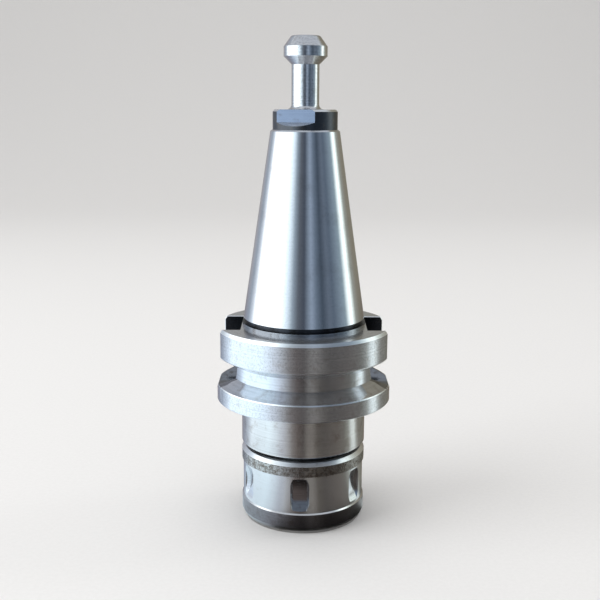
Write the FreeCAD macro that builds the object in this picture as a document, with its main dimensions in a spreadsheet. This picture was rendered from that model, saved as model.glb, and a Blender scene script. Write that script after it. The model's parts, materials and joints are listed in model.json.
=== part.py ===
import FreeCAD, Part
import math
import os
import re

import Sketcher

# Collet chuck holder with a 7/24 steep-taper shank and a retention knob.
# Row frame: +Z up along the spindle axis, origin at the centre of the clamp nut's
# front face, on which the holder stands. +X points at the middle of one drive slot.

DIMENSIONS = {
    # Shank, on the gauge plane
    "gauge_height": 54.5,       # clamp nut's front face to the gauge plane
    "gauge_dia": 31.75,
    "taper_rate": 7 / 24,       # change of diameter per length
    "shank_length": 48.4,
    "shank_break": 0.4,
    "relief_dia": 30.4,         # grinding relief between taper and collar
    "relief_width": 1.25,
    "collar_dia": 32.3,
    # Flange
    "face_drop": 2.0,           # gauge plane down to the flange face
    "flange_dia": 46.0,
    "flange_width": 20.0,
    "rim_width": 7.6,
    "bevel_width": 0.5,
    "bevel_height": 0.85,
    "groove_opening": 8.0,
    "groove_floor_dia": 38.0,
    "groove_half_angle": 30.0,
    "edge_break": 0.2,
    # Drive slots
    "key_width": 16.1,
    "key_floor": 16.3,          # spindle axis to the slot's flat floor
    "key_depth": 17.0,          # flange face to the bottom of the round end
    "key_break": 0.18,
    # Neck and threaded nose
    "neck_dia": 33.0,
    "neck_length": 11.75,
    "neck_fillet": 2.0,         # root between the neck and the flange's underside
    "undercut_dia": 24.2,
    "undercut_width": 3.25,
    "nose_dia": 25.24,          # root of the nose thread
    "nose_length": 12.55,
    "nose_break": 0.4,
    # Bores inside the holder
    "seat_gap": 0.03,           # radial gap that keeps the two cones from crossing
    "chamber_dia": 16.6,
    "chamber_top": 43.5,        # both from the clamp nut's front face
    "chamber_bottom": 36.4,
    "passage_dia": 10.2,
    "stud_thread_dia": 12.0,
    "stud_thread_depth": 24.0,
    "pilot_dia": 12.5,
    "pilot_depth": 5.0,
    "bore_gap": 0.03,
    # Pull stud
    "stud_flange_dia": 16.5,
    "stud_flange_height": 5.0,
    "stud_flange_break": 0.5,
    "stud_pilot_length": 4.0,
    "stud_shank_length": 20.0,
    "stud_shank_dia": 11.9,
    "stud_shank_break": 1.0,
    "stud_neck_dia": 7.0,
    "stud_neck_fillet": 1.3,
    "stud_head_dia": 11.0,
    "stud_head_edge": 18.0,     # seat to the widest edge of the 45 degree cone
    "stud_head_land": 2.4,
    "stud_top_dia": 7.5,
    "stud_height": 23.0,
    "stud_top_break": 0.35,
    "flat_across": 13.0,
    "flat_height": 3.1,
    "flat_runout": 0.95,
    "flat_phase": -111.5,
    # Clamp nut
    "nut_dia": 33.0,
    "nut_height": 19.3,
    "nut_foot_dia": 31.4,
    "nut_foot_bevel": 1.75,
    "nut_low_band": 5.3,
    "nut_waist_dia": 32.3,
    "nut_waist_step": 0.3,
    "nut_high_band": 15.7,
    "nut_top_bevel": 0.85,
    "nut_top_dia": 31.2,
    "nut_mouth_dia": 29.2,
    "nut_mouth_depth": 2.0,
    "nut_thread_dia": 25.4,     # crest of the nut thread
    "nut_lip_height": 2.2,
    "nut_lip_dia": 22.6,
    "nut_lip_break": 0.3,
    "nut_seat_dia": 25.2,
    "clip_groove_dia": 26.4,
    "clip_groove_low": 6.6,
    "clip_groove_width": 1.0,
    "nut_phase": 27.0,
    "scoop_count": 6,
    "scoop_width": 4.9,
    "scoop_depth": 1.32,
    "scoop_height": 10.65,
    "scoop_cutter": 8.0,        # radius of the disc cutter that cuts the scoops
    "scoop_corner": 0.65,
    # Thrust ring
    "ring_rest": 2.22,          # bearing face, just clear of the nut's lip
    "ring_dia": 25.1,
    "ring_height": 4.28,
    "ring_nose_dia": 22.45,
    "ring_nose_length": 1.72,
    "ring_cone_gap": 0.06,
    "ring_land_dia": 21.0,
    "ring_land_top": 3.2,
    "ring_lip_top": 4.6,
    "ring_lip_dia": 19.2,
    "ring_bore_dia": 21.2,
    "ring_eye_dia": 20.9,
    "ring_eye_offset": 0.7,
    # Retaining clip
    "clip_outer_dia": 26.3,
    "clip_width": 1.0,
    "clip_thickness": 0.9,
    "clip_height": 7.1,
    "clip_sweep": 330.0,
    # Collet
    "collet_setback": 0.6,      # collet's face behind the clamp nut's front face
    "collet_dia": 20.4,         # big end of the closing taper
    "collet_half_angle": 4.0,
    "collet_start": 4.7,        # both from the clamp nut's front face
    "collet_end": 35.7,
    "collet_face_dia": 18.4,
    "collet_cone_angle": 30.0,
    "collet_land_dia": 20.8,
    "collet_groove_dia": 18.8,
    "collet_groove_low": 3.1,
    "collet_bore_dia": 10.0,
    "collet_bore_break": 0.5,
    "collet_back_dia": 11.2,
    "collet_grip_top": 24.0,
    "slit_count": 8,
    "slit_width": 0.9,
    "front_slit_top": 28.0,
    "rear_slit_low": 8.5,
}

FULL_TURN = 360.0

doc = FreeCAD.newDocument("ColletChuckHolder")


def make_sheet():
    """Fill the sheet with one alias per driving dimension."""
    sheet = doc.addObject("Spreadsheet::Sheet", "Dims")
    for row, (alias, value) in enumerate(DIMENSIONS.items(), start=1):
        sheet.set(f"A{row}", alias)
        sheet.set(f"B{row}", str(value))
        sheet.setAlias(f"B{row}", alias)
    doc.recompute()
    return sheet


SHEET = make_sheet()


def linked(text):
    """Turn each dimension's name in an expression into a link to its cell."""
    return re.sub(r"[a-z_]{4,}", lambda m: "Dims." + m[0] if m[0] in DIMENSIONS else m[0], text)


def value_of(text):
    """Return what an expression of dimension names comes to."""
    result = SHEET.evalExpression(linked(text))
    return float(getattr(result, "Value", result))


def bind(feature, prop, text):
    """Drive a property from an expression of dimension names."""
    feature.setExpression(prop, linked(text))


def new_body(label, lift="0", turn="0"):
    """Start a body in its own frame, lifted along Z and turned about Z to its place."""
    body = doc.addObject("PartDesign::Body", label)
    body.Label = label
    body.Placement = FreeCAD.Placement(
        FreeCAD.Vector(0, 0, value_of(lift)),
        FreeCAD.Rotation(FreeCAD.Vector(0, 0, 1), value_of(turn)),
    )
    bind(body, "Placement.Base.z", lift)
    bind(body, "Placement.Rotation.Angle", turn)
    return body


def datum(body, role):
    """Return one of the body's own origin planes or axes."""
    return next(item for item in body.Origin.OriginFeatures if item.Role == role)


def new_sketch(body, name, role, offset=None):
    """Lay an empty sketch on one of the body's origin planes."""
    sketch = body.newObject("Sketcher::SketchObject", name)
    sketch.AttachmentSupport = [(datum(body, role), "")]
    sketch.MapMode = "FlatFace"
    if offset is not None:
        sketch.AttachmentOffset = offset
    return sketch


def pin_point(sketch, line, point, name, across, up):
    """Hold a line's end at two expressions, measured from the sketch's origin."""
    for kind, axis, text in (("DistanceX", -2, across), ("DistanceY", -1, up)):
        if text == "0":
            sketch.addConstraint(Sketcher.Constraint("PointOnObject", line, point, axis))
            continue
        rule = Sketcher.Constraint(kind, -1, 1, line, point, value_of(text))
        index = sketch.addConstraint(rule)
        label = f"{name}_{kind[-1].lower()}"
        sketch.renameConstraint(index, label)
        bind(sketch, f"Constraints.{label}", text)


def closed_profile(sketch, corners):
    """Draw a closed outline through named corners, each held from the origin."""
    places = [FreeCAD.Vector(value_of(x), value_of(y), 0) for _, x, y in corners]
    count = len(corners)
    first = sketch.GeometryCount
    for index in range(count):
        sketch.addGeometry(Part.LineSegment(places[index], places[(index + 1) % count]), False)
    for index, (name, across, up) in enumerate(corners):
        line = first + index
        following = first + (index + 1) % count
        sketch.addConstraint(Sketcher.Constraint("Coincident", line, 2, following, 1))
        pin_point(sketch, line, 1, name, across, up)


def spin(body, kind, name, corners):
    """Revolve an outline of (name, radius, height) corners about the body's Z axis."""
    sketch = new_sketch(body, name + "_profile", "XZ_Plane")
    closed_profile(sketch, corners)
    feature = body.newObject(kind, name)
    feature.Profile = (sketch, [""])
    feature.ReferenceAxis = (datum(body, "Z_Axis"), [""])
    feature.Angle = FULL_TURN
    doc.recompute()
    return feature


def polar(body, name, original, count):
    """Repeat a cut around the body's Z axis."""
    pattern = body.newObject("PartDesign::PolarPattern", name)
    pattern.Originals = [original]
    pattern.Axis = (datum(body, "Z_Axis"), [""])
    pattern.Angle = FULL_TURN
    if count in DIMENSIONS:
        pattern.Occurrences = int(DIMENSIONS[count])
        bind(pattern, "Occurrences", count)
    else:
        pattern.Occurrences = int(count)
    body.Tip = pattern
    doc.recompute()
    return pattern


def circles_at(feature, spots):
    """Name the full circular edges about Z with a given radius and height."""
    wanted = [(value_of(radius), value_of(height)) for radius, height in spots]
    names = []
    for index, edge in enumerate(feature.Shape.Edges, start=1):
        if not isinstance(edge.Curve, Part.Circle):
            continue
        centre = edge.Curve.Center
        off_axis = math.hypot(centre.x, centre.y) > 0.01
        fits = any(abs(edge.Curve.Radius - r) < 0.01 and abs(centre.z - z) < 0.01 for r, z in wanted)
        if fits and not off_axis:
            names.append(f"Edge{index}")
    if not names:
        raise RuntimeError(f"no edge of {feature.Name} lies at {wanted}")
    return names


def dress(body, kind, name, base, edges, prop, size):
    """Add a fillet or a chamfer along the named edges."""
    feature = body.newObject(kind, name)
    feature.Base = (base, edges)
    setattr(feature, prop, value_of(size))
    bind(feature, prop, size)
    body.Tip = feature
    doc.recompute()
    return feature


def slot_mouth_edges(shape, half_width, floor):
    """Name the edges between the drive slots' walls and the flange's outer faces."""

    def is_wall(face):
        surface = face.Surface
        if isinstance(surface, Part.Cylinder):
            return abs(surface.Axis.x) > 0.99
        upright = isinstance(surface, Part.Plane) and abs(surface.Axis.y) > 0.99
        return upright and abs(abs(face.CenterOfMass.y) - half_width) < 0.01

    names = []
    for index, edge in enumerate(shape.Edges, start=1):
        faces = shape.ancestorsOfType(edge, Part.Face)
        walls = sum(is_wall(face) for face in faces)
        near_floor = abs(abs(edge.CenterOfMass.x) - floor) < 0.05
        if walls == 1 and not near_floor:
            names.append(f"Edge{index}")
    return names


def build_holder():
    """One piece of steel: taper shank, V-flange with drive slots, neck and nose."""
    body = new_body("holder_body", lift="gauge_height")
    groove_rise = "(flange_dia - groove_floor_dia) / 2 * tan(groove_half_angle * 1 deg)"
    small_end = "(gauge_dia - shank_length * taper_rate) / 2"
    face = "-face_drop"
    rim = "-face_drop - rim_width"
    low_rim = "-face_drop - rim_width - groove_opening"
    flange_low = "-face_drop - flange_width"
    neck_low = "-face_drop - flange_width - neck_length"
    spin(body, "PartDesign::Revolution", "turned_blank", [
        ("nose_axis", "0", f"{neck_low} - nose_length"),
        ("nose_face", "nose_dia / 2 - nose_break", f"{neck_low} - nose_length"),
        ("nose_edge", "nose_dia / 2", f"{neck_low} - nose_length + nose_break"),
        ("nose_top", "nose_dia / 2", f"{neck_low} - undercut_width"),
        ("undercut_low", "undercut_dia / 2", f"{neck_low} - undercut_width"),
        ("undercut_high", "undercut_dia / 2", neck_low),
        ("neck_low", "neck_dia / 2", neck_low),
        ("neck_high", "neck_dia / 2", flange_low),
        ("flange_low", "flange_dia / 2", flange_low),
        ("low_rim", "flange_dia / 2", low_rim),
        ("floor_low", "groove_floor_dia / 2", f"{low_rim} + {groove_rise}"),
        ("floor_high", "groove_floor_dia / 2", f"{rim} - {groove_rise}"),
        ("high_rim", "flange_dia / 2", rim),
        ("bevel_low", "flange_dia / 2", "-face_drop - bevel_height"),
        ("bevel_high", "flange_dia / 2 - bevel_width", face),
        ("collar_low", "collar_dia / 2", face),
        ("collar_high", "collar_dia / 2", "-relief_width"),
        ("relief_low", "relief_dia / 2", "-relief_width"),
        ("relief_high", "relief_dia / 2", "0"),
        ("gauge_edge", "gauge_dia / 2", "0"),
        ("small_end", f"{small_end} + shank_break * taper_rate / 2", "shank_length - shank_break"),
        ("small_face", f"{small_end} - shank_break", "shank_length"),
        ("small_axis", "0", "shank_length"),
    ])

    cone = "(collet_dia / 2 + seat_gap - ({0} - collet_start) * tan(collet_half_angle * 1 deg))"
    mouth = "gauge_height - face_drop - flange_width - neck_length - nose_length"
    thread = "stud_thread_dia / 2"
    pilot = "pilot_dia / 2 + bore_gap"
    passage_top = "shank_length - stud_thread_depth"
    bores = spin(body, "PartDesign::Groove", "bores", [
        ("mouth_axis", "0", f"{mouth} - gauge_height"),
        ("mouth_edge", cone.format(mouth), f"{mouth} - gauge_height"),
        ("cone_end", cone.format("chamber_bottom"), "chamber_bottom - gauge_height"),
        ("chamber_low", "chamber_dia / 2", "chamber_bottom - gauge_height"),
        ("chamber_high", "chamber_dia / 2", "chamber_top - gauge_height"),
        ("passage_low", "passage_dia / 2", "chamber_top - gauge_height + 1.5"),
        ("passage_high", "passage_dia / 2", f"{passage_top} - 0.5"),
        ("thread_low", thread, passage_top),
        ("thread_high", thread, "shank_length - pilot_depth"),
        ("pilot_low", pilot, "shank_length - pilot_depth"),
        ("pilot_high", pilot, "shank_length"),
        ("rear_axis", "0", "shank_length"),
    ])

    edges = circles_at(bores, [
        ("flange_dia / 2", flange_low),
        ("flange_dia / 2", low_rim),
        ("flange_dia / 2", rim),
        ("neck_dia / 2", neck_low),
    ])
    breaks = dress(body, "PartDesign::Chamfer", "edge_breaks", bores, edges, "Size", "edge_break")
    root = circles_at(breaks, [("neck_dia / 2", flange_low)])
    dress(body, "PartDesign::Fillet", "neck_root", breaks, root, "Radius", "neck_fillet")

    # Each drive slot runs in from the flange face and ends in a half round.
    offset = FreeCAD.Placement(FreeCAD.Vector(0, 0, value_of("key_floor")), FreeCAD.Rotation())
    sketch = new_sketch(body, "key_profile", "YZ_Plane", offset)
    bind(sketch, "AttachmentOffset.Base.z", "key_floor")
    half = value_of("key_width / 2")
    low = value_of("key_width / 2 - face_drop - key_depth")
    corners = [
        FreeCAD.Vector(half, low, 0),
        FreeCAD.Vector(half, 0, 0),
        FreeCAD.Vector(-half, 0, 0),
        FreeCAD.Vector(-half, low, 0),
    ]
    for start, end in zip(corners, corners[1:]):
        sketch.addGeometry(Part.LineSegment(start, end), False)
    circle = Part.Circle(FreeCAD.Vector(0, low, 0), FreeCAD.Vector(0, 0, 1), half)
    sketch.addGeometry(Part.ArcOfCircle(circle, math.pi, 2 * math.pi), False)
    for line in (0, 1):
        sketch.addConstraint(Sketcher.Constraint("Coincident", line, 2, line + 1, 1))
    sketch.addConstraint(Sketcher.Constraint("Tangent", 2, 2, 3, 1))
    sketch.addConstraint(Sketcher.Constraint("Tangent", 3, 2, 0, 1))
    sketch.addConstraint(Sketcher.Constraint("PointOnObject", 3, 3, -2))
    sketch.addConstraint(Sketcher.Constraint("PointOnObject", 0, 2, -1))
    sketch.addConstraint(Sketcher.Constraint("Horizontal", 1))
    sketch.addConstraint(Sketcher.Constraint("Vertical", 0))
    for name, rule, text in (
        ("end_radius", Sketcher.Constraint("Radius", 3, half), "key_width / 2"),
        ("end_drop", Sketcher.Constraint("DistanceY", -1, 1, 3, 3, low),
         "key_width / 2 - face_drop - key_depth"),
    ):
        index = sketch.addConstraint(rule)
        sketch.renameConstraint(index, name)
        bind(sketch, f"Constraints.{name}", text)
    pocket = body.newObject("PartDesign::Pocket", "drive_slot")
    pocket.Profile = (sketch, [""])
    pocket.Type = "Length"
    pocket.Length = value_of("flange_dia / 2")
    bind(pocket, "Length", "flange_dia / 2")
    pocket.Reversed = True
    doc.recompute()
    slots = polar(body, "drive_slots", pocket, "2")

    # A fine break runs along every edge where a slot's wall meets the flange's outside.
    mouth_edges = slot_mouth_edges(slots.Shape, half, value_of("key_floor"))
    dress(body, "PartDesign::Chamfer", "slot_breaks", slots, mouth_edges, "Size", "key_break")
    return body


def build_stud():
    """Retention knob: seat flange with two wrench flats, neck and 45 degree head."""
    body = new_body("pull_stud", lift="gauge_height + shank_length", turn="flat_phase")
    head = "stud_head_dia / 2"
    neck = "stud_neck_dia / 2"
    blank = spin(body, "PartDesign::Revolution", "turned_stud", [
        ("tail_axis", "0", "-stud_shank_length"),
        ("tail_face", "stud_shank_dia / 2 - stud_shank_break", "-stud_shank_length"),
        ("tail_edge", "stud_shank_dia / 2", "-stud_shank_length + stud_shank_break"),
        ("shank_high", "stud_shank_dia / 2", "-stud_pilot_length"),
        ("pilot_low", "pilot_dia / 2", "-stud_pilot_length"),
        ("pilot_high", "pilot_dia / 2", "0"),
        ("seat_edge", "stud_flange_dia / 2", "0"),
        ("flange_edge", "stud_flange_dia / 2", "stud_flange_height - stud_flange_break"),
        ("flange_face", "stud_flange_dia / 2 - stud_flange_break", "stud_flange_height"),
        ("neck_low", neck, "stud_flange_height"),
        ("neck_high", neck, f"stud_head_edge - ({head} - {neck})"),
        ("head_low", head, "stud_head_edge"),
        ("head_high", head, "stud_head_edge + stud_head_land"),
        ("top_edge", "stud_top_dia / 2", "stud_height - stud_top_break / 2"),
        ("top_face", "stud_top_dia / 2 - stud_top_break", "stud_height"),
        ("top_axis", "0", "stud_height"),
    ])
    root = circles_at(blank, [(neck, "stud_flange_height")])
    dress(body, "PartDesign::Fillet", "neck_root", blank, root, "Radius", "stud_neck_fillet")

    # The wrench flats are milled from the top and run out on a slope below.
    sketch = new_sketch(body, "flat_profile", "XZ_Plane")
    outer = "(stud_flange_dia / 2 + 1)"
    slope = "(flat_runout / (stud_flange_dia / 2 - flat_across / 2))"
    shelf = "stud_flange_height - flat_height"
    closed_profile(sketch, [
        ("flat_low", "flat_across / 2", shelf),
        ("outer_low", outer, f"{shelf} - ({outer} - flat_across / 2) * {slope}"),
        ("outer_high", outer, "stud_flange_height + 1"),
        ("flat_high", "flat_across / 2", "stud_flange_height + 1"),
    ])
    pocket = body.newObject("PartDesign::Pocket", "wrench_flat")
    pocket.Profile = (sketch, [""])
    pocket.Type = "Length"
    pocket.SideType = "Symmetric"
    pocket.Length = value_of("stud_flange_dia")
    bind(pocket, "Length", "stud_flange_dia")
    doc.recompute()
    polar(body, "wrench_flats", pocket, "2")
    return body


def build_nut():
    """Clamp nut: a turned shell with a waisted band and six disc-milled scoops."""
    body = new_body("clamp_nut", turn="nut_phase")
    groove_top = "clip_groove_low + clip_groove_width"
    mouth_low = "nut_height - nut_mouth_depth"
    spin(body, "PartDesign::Revolution", "turned_nut", [
        ("foot_inner", "nut_lip_dia / 2 + nut_lip_break", "0"),
        ("foot_outer", "nut_foot_dia / 2", "0"),
        ("foot_bevel", "nut_dia / 2", "nut_foot_bevel"),
        ("low_band", "nut_dia / 2", "nut_low_band"),
        ("waist_low", "nut_waist_dia / 2", "nut_low_band + nut_waist_step"),
        ("waist_high", "nut_waist_dia / 2", "nut_high_band - nut_waist_step / 2"),
        ("high_band", "nut_dia / 2", "nut_high_band"),
        ("bevel_low", "nut_dia / 2", "nut_height - nut_top_bevel"),
        ("bevel_high", "nut_top_dia / 2", "nut_height"),
        ("mouth_edge", "nut_mouth_dia / 2", "nut_height"),
        ("mouth_low", "nut_mouth_dia / 2", mouth_low),
        ("thread_high", "nut_thread_dia / 2", f"{mouth_low} - 0.8"),
        ("thread_low", "nut_thread_dia / 2", groove_top),
        ("groove_high", "clip_groove_dia / 2", groove_top),
        ("groove_low", "clip_groove_dia / 2", "clip_groove_low"),
        ("seat_high", "nut_seat_dia / 2", "clip_groove_low"),
        ("seat_low", "nut_seat_dia / 2", "nut_lip_height"),
        ("lip_high", "nut_lip_dia / 2", "nut_lip_height"),
        ("lip_low", "nut_lip_dia / 2", "nut_lip_break"),
    ])

    # The cutter's section lies across the scoop at mid-height. Its axis is tangential.
    offset = FreeCAD.Placement(FreeCAD.Vector(0, 0, value_of("scoop_height")), FreeCAD.Rotation())
    sketch = new_sketch(body, "cutter_section", "XY_Plane", offset)
    bind(sketch, "AttachmentOffset.Base.z", "scoop_height")
    floor = "nut_waist_dia / 2 - scoop_depth"
    axis = f"{floor} + scoop_cutter"
    side = "scoop_width / 2"
    closed_profile(sketch, [
        ("floor_left", floor, f"-({side} - scoop_corner)"),
        ("floor_right", floor, f"{side} - scoop_corner"),
        ("side_right", f"{floor} + scoop_corner", side),
        ("axis_right", axis, side),
        ("axis_left", axis, f"-({side})"),
        ("side_left", f"{floor} + scoop_corner", f"-({side})"),
    ])
    scoop = body.newObject("PartDesign::Groove", "scoop")
    scoop.Profile = (sketch, [""])
    scoop.ReferenceAxis = (sketch, ["Edge4"])
    scoop.Angle = FULL_TURN
    doc.recompute()
    polar(body, "scoops", scoop, "scoop_count")
    return body


def build_ring():
    """Thrust ring: a plain bearing whose inner cone drives the collet's face."""
    body = new_body("thrust_ring", lift="ring_rest")
    slope = "tan(collet_cone_angle * 1 deg)"
    low = "-ring_nose_length"
    depth = "(ring_rest - ring_nose_length - collet_setback)"
    cone_low = f"collet_face_dia / 2 + {depth} * {slope} + ring_cone_gap"
    cone_top = f"({low} + (ring_land_dia / 2 - ({cone_low})) / {slope})"
    spin(body, "PartDesign::Revolution", "turned_ring", [
        ("face_inner", cone_low, low),
        ("face_outer", "ring_nose_dia / 2", low),
        ("shoulder_inner", "ring_nose_dia / 2", "0"),
        ("shoulder_outer", "ring_dia / 2", "0"),
        ("top_outer", "ring_dia / 2", "ring_height"),
        ("top_inner", "ring_bore_dia / 2", "ring_height"),
        ("bore_low", "ring_bore_dia / 2", "ring_lip_top - ring_rest"),
        ("lip_high", "ring_lip_dia / 2", "ring_lip_top - ring_rest"),
        ("lip_low", "ring_lip_dia / 2", "ring_land_top - ring_rest"),
        ("land_high", "ring_land_dia / 2", "ring_land_top - ring_rest"),
        ("land_low", "ring_land_dia / 2", cone_top),
    ])

    # An eccentric eye leaves the lip as a crescent, under which the collet is tilted in.
    offset = FreeCAD.Placement(
        FreeCAD.Vector(0, 0, value_of("ring_land_top - ring_rest")), FreeCAD.Rotation())
    sketch = new_sketch(body, "eye_profile", "XY_Plane", offset)
    bind(sketch, "AttachmentOffset.Base.z", "ring_land_top - ring_rest")
    radius = value_of("ring_eye_dia / 2")
    shift = value_of("ring_eye_offset")
    sketch.addGeometry(Part.Circle(FreeCAD.Vector(shift, 0, 0), FreeCAD.Vector(0, 0, 1), radius), False)
    sketch.addConstraint(Sketcher.Constraint("PointOnObject", 0, 3, -1))
    for name, rule, text in (
        ("eye", Sketcher.Constraint("Radius", 0, radius), "ring_eye_dia / 2"),
        ("shift", Sketcher.Constraint("DistanceX", -1, 1, 0, 3, shift), "ring_eye_offset"),
    ):
        index = sketch.addConstraint(rule)
        sketch.renameConstraint(index, name)
        bind(sketch, f"Constraints.{name}", text)
    pocket = body.newObject("PartDesign::Pocket", "eccentric_eye")
    pocket.Profile = (sketch, [""])
    pocket.Type = "Length"
    pocket.Length = value_of("ring_lip_top - ring_land_top")
    bind(pocket, "Length", "ring_lip_top - ring_land_top")
    pocket.Reversed = True
    body.Tip = pocket
    doc.recompute()
    return body


def build_clip():
    """Flat snap ring, open at one side, that keeps the thrust ring in the clamp nut."""
    body = new_body("retaining_clip", lift="clip_height")
    outer = "clip_outer_dia / 2"
    inner = f"{outer} - clip_width"
    ring = spin(body, "PartDesign::Revolution", "bent_strip", [
        ("inner_low", inner, "-clip_thickness / 2"),
        ("outer_low", outer, "-clip_thickness / 2"),
        ("outer_high", outer, "clip_thickness / 2"),
        ("inner_high", inner, "clip_thickness / 2"),
    ])
    bind(ring, "Angle", "clip_sweep")
    doc.recompute()
    return body


def cut_slits(body, name, low, high, turn):
    """Saw evenly spaced radial slits through one end of the collet."""
    offset = FreeCAD.Placement(
        FreeCAD.Vector(0, 0, 0), FreeCAD.Rotation(FreeCAD.Vector(0, 1, 0), value_of(turn)))
    sketch = new_sketch(body, name + "_profile", "XZ_Plane", offset)
    bind(sketch, "AttachmentOffset.Rotation.Angle", turn)
    inner = "collet_bore_dia / 4"
    outer = "collet_dia"
    closed_profile(sketch, [
        ("inner_low", inner, low),
        ("outer_low", outer, low),
        ("outer_high", outer, high),
        ("inner_high", inner, high),
    ])
    pocket = body.newObject("PartDesign::Pocket", name)
    pocket.Profile = (sketch, [""])
    pocket.Type = "Length"
    pocket.SideType = "Symmetric"
    pocket.Length = value_of("slit_width")
    bind(pocket, "Length", "slit_width")
    doc.recompute()
    return polar(body, name + "s", pocket, "slit_count")


def build_collet():
    """Spring collet: closing taper, extraction groove and slits from both ends."""
    body = new_body("collet", lift="collet_setback")
    slope = "tan(collet_cone_angle * 1 deg)"
    land_low = f"(collet_land_dia - collet_face_dia) / 2 / {slope}"
    length = "collet_end - collet_setback"
    small = "collet_dia / 2 - (collet_end - collet_start) * tan(collet_half_angle * 1 deg)"
    spin(body, "PartDesign::Revolution", "turned_collet", [
        ("face_inner", "collet_bore_dia / 2 + collet_bore_break", "0"),
        ("face_outer", "collet_face_dia / 2", "0"),
        ("land_low", "collet_land_dia / 2", land_low),
        ("land_high", "collet_land_dia / 2", "collet_groove_low - collet_setback"),
        ("groove_low", "collet_groove_dia / 2", "collet_groove_low - collet_setback"),
        ("groove_high", "collet_groove_dia / 2", "collet_start - collet_setback"),
        ("taper_low", "collet_dia / 2", "collet_start - collet_setback"),
        ("taper_high", small, length),
        ("rear_inner", "collet_back_dia / 2", length),
        ("back_low", "collet_back_dia / 2", "collet_grip_top - collet_setback"),
        ("grip_top", "collet_bore_dia / 2", "collet_grip_top - collet_setback"),
        ("grip_low", "collet_bore_dia / 2", "collet_bore_break"),
    ])
    cut_slits(body, "front_slit", "-1", "front_slit_top - collet_setback", "0")
    half_step = "180 / slit_count"
    cut_slits(body, "rear_slit", "rear_slit_low - collet_setback", f"{length} + 1", half_step)
    return body


def check(bodies):
    """Stop if any object failed or any piece has no sound solid."""
    for item in doc.Objects:
        if {"Invalid", "Error"} & set(item.State):
            raise RuntimeError(f"{item.Name} failed: {item.State}")
    for body in bodies:
        shape = body.Shape
        if shape.isNull() or not shape.isValid() or len(shape.Solids) != 1:
            raise RuntimeError(f"{body.Label} is not one valid solid")


BODIES = [
    build_holder(),
    build_stud(),
    build_nut(),
    build_ring(),
    build_clip(),
    build_collet(),
]
doc.recompute()
check(BODIES)
os.makedirs("parts", exist_ok=True)
for piece in BODIES:
    piece.Shape.exportStep(f"parts/{piece.Label}.step")
    bounds = piece.Shape.BoundBox
    print(f"{piece.Label}: {piece.Shape.Volume:.1f} mm3, z {bounds.ZMin:.2f} to {bounds.ZMax:.2f}")
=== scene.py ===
"""Dress the collet chuck holder's frame and set it on a plain studio table.

The frame gives every turned and milled solid. This script gives each face its finish, some
with painted highlights, painted reflection and painted shade, adds the nose thread as real
geometry, and builds the studio: floor, a surround of glowing cards with painted reflections
and a painted shadow, lamps and camera. Everything is in metres, in the frame's own axes.
"""

from __future__ import annotations

import json
import logging
import math
from dataclasses import dataclass, field
from enum import Enum
from typing import Callable, ClassVar, Iterable, Sequence

import bmesh
import bpy
from mathutils import Matrix, Vector

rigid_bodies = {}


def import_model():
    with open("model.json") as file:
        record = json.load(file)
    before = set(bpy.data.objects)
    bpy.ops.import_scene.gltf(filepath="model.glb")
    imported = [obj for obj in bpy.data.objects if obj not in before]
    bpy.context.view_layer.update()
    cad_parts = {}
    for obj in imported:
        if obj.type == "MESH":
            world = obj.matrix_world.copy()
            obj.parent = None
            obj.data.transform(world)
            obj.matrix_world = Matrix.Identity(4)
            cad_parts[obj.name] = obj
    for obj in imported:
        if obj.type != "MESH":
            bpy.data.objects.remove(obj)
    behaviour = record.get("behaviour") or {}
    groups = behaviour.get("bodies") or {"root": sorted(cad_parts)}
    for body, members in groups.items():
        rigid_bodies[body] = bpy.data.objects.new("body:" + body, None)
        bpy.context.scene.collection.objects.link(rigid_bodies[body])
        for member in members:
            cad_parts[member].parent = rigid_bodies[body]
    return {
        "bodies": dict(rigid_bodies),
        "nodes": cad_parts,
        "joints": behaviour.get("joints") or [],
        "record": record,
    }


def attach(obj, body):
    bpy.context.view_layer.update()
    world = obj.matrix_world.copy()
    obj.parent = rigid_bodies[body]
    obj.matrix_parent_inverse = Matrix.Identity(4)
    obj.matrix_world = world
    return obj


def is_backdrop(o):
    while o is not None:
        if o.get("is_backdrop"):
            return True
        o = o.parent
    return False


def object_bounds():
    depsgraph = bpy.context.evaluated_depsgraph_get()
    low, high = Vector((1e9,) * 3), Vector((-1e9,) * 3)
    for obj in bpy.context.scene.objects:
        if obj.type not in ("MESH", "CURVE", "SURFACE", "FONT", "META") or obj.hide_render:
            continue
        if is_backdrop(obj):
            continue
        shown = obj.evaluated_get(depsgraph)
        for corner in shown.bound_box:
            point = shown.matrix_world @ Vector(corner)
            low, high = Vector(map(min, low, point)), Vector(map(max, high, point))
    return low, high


LOG = logging.getLogger("collet_chuck_holder")
MM = 0.001
THOUSANDTH = MM * MM
QUARTER_TURN = 0.25

# How far, in millimetres, a face may lie off a surface and still belong to it.
SLACK = 0.02
TIGHT = 0.01
# Share of a slanted face's direction that points along an axis.
SLANT_LOW = 0.3
SLANT_HIGH = 0.95
# The middle of a noise, where nearly all of its values lie.
NOISE_LOW = 0.3
NOISE_HIGH = 0.7

Colour = tuple[float, float, float]
Point = tuple[float, float, float]
Span = tuple[float, float]
Socket = bpy.types.NodeSocket


class Grain(Enum):
    """How a cutting tool or wheel has left its marks on a face."""

    AROUND = "rings about the spindle axis"
    ACROSS = "fine straight lines across the spindle axis"
    EVEN = "no direction, as oxide or blasting leaves it"


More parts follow.
